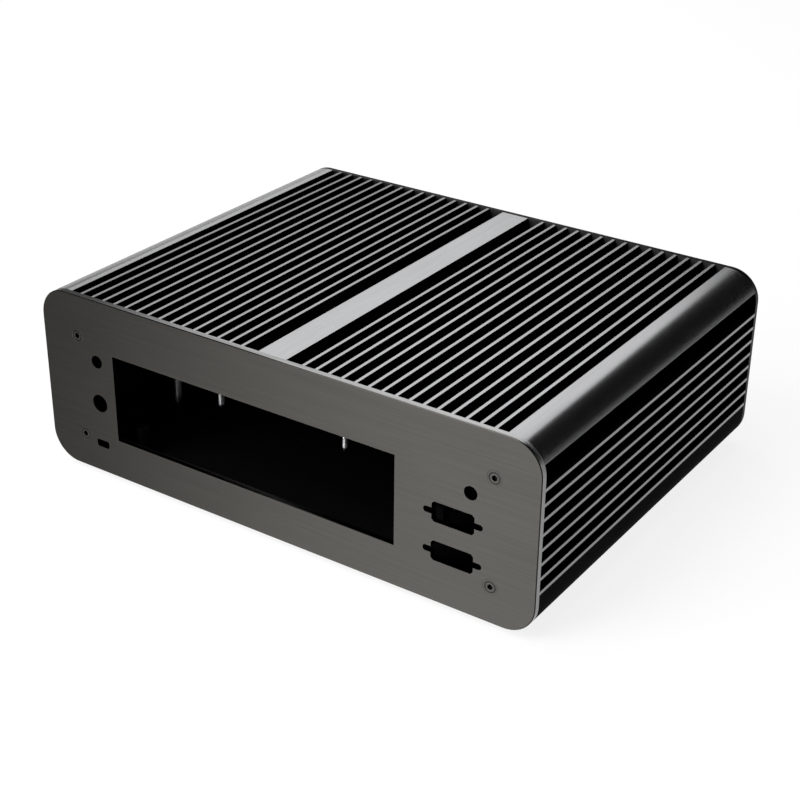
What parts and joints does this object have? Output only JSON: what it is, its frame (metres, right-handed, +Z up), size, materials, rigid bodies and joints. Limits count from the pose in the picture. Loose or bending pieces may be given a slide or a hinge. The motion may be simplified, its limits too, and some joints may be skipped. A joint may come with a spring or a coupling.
{
  "type": "fanless mini-itx computer case",
  "caption": "Fanless small computer case of finned black extrusions between two brushed metal end panels, with a cooler, base plate and power button inside.",
  "frame": {"origin": "on the surface it stands on, under the middle of the case", "axes": "+X across the width, +Y from the connector panel to the front panel with the power button, +Z up"},
  "size_m": [0.272, 0.21, 0.094],
  "materials": {
    "anodised_heatsink": "black anodised extrusion, machined bare on its outer faces",
    "brushed_panel": "brushed along the panel and anodised grey",
    "anodised_base": "black anodised sheet",
    "screw_steel": "plain steel screws",
    "black_screw": "black oxide screws",
    "foot_rubber": "matt black rubber",
    "black_standoff": "milled from hexagon bar and black anodised",
    "rod_steel": "bright zinc plated steel",
    "machined_aluminium": "milled bare aluminium",
    "pipe_copper": "sintered copper heat pipe",
    "clamp_steel": "black powder coated steel",
    "button_aluminium": "turned and brushed",
    "black_plastic": "moulded black nylon",
    "spring_steel": "spring steel wire",
    "lens_plastic": "clear moulded lens",
    "circuit_board": "green solder mask",
    "socket_steel": "nickel plated sheet"
  },
  "bodies": {
    "case": {"top_heatsink": "anodised_heatsink", "left_heatsink": "anodised_heatsink", "right_heatsink": "anodised_heatsink", "base_plate": "anodised_base", "rear_panel": "brushed_panel", "front_panel": "brushed_panel", "rear_panel_screws": "screw_steel", "front_panel_screws": "screw_steel", "base_screws": "black_screw", "rubber_feet": "foot_rubber", "foot_screws": "black_screw", "board_standoffs": "black_standoff", "tie_rods": "rod_steel", "tie_rod_nuts": "rod_steel", "cpu_block": "machined_aluminium", "cpu_block_cap": "machined_aluminium", "cpu_block_screws": "black_screw", "cpu_clamp_frame": "clamp_steel", "cpu_clamp_frame_screw": "rod_steel", "cpu_clamp_screws": "rod_steel", "pipe_clamp_near": "machined_aluminium", "pipe_clamp_far": "machined_aluminium", "pipe_clamp_screws": "black_screw", "button_guide": "black_plastic", "button_guide_screws": "black_screw", "button_spring": "spring_steel", "power_switch": "black_plastic", "switch_board": "circuit_board", "power_light_lens": "lens_plastic", "power_light": "lens_plastic", "power_light_holder": "black_plastic", "usb_board": "circuit_board", "usb_bracket": "clamp_steel", "usb_bracket_screws": "black_screw", "usb_board_screws": "black_screw", "usb_shell_1": "socket_steel", "usb_shell_2": "socket_steel", "usb_insert_1": "black_plastic", "usb_insert_2": "black_plastic", "heat_pipe_1": "pipe_copper", "heat_pipe_2": "pipe_copper", "heat_pipe_3": "pipe_copper", "heat_pipe_4": "pipe_copper"},
    "power_button": {"power_button": "button_aluminium"}
  },
  "joints": [
    {"name": "power_button_slide", "type": "slide", "parent": "case", "child": "power_button", "axis": [0, -1, 0], "range_m": [0, 0.0015], "stiffness_N_per_m": 400, "springref_m": -0.003, "deforming": ["button_spring"]}
  ]
}
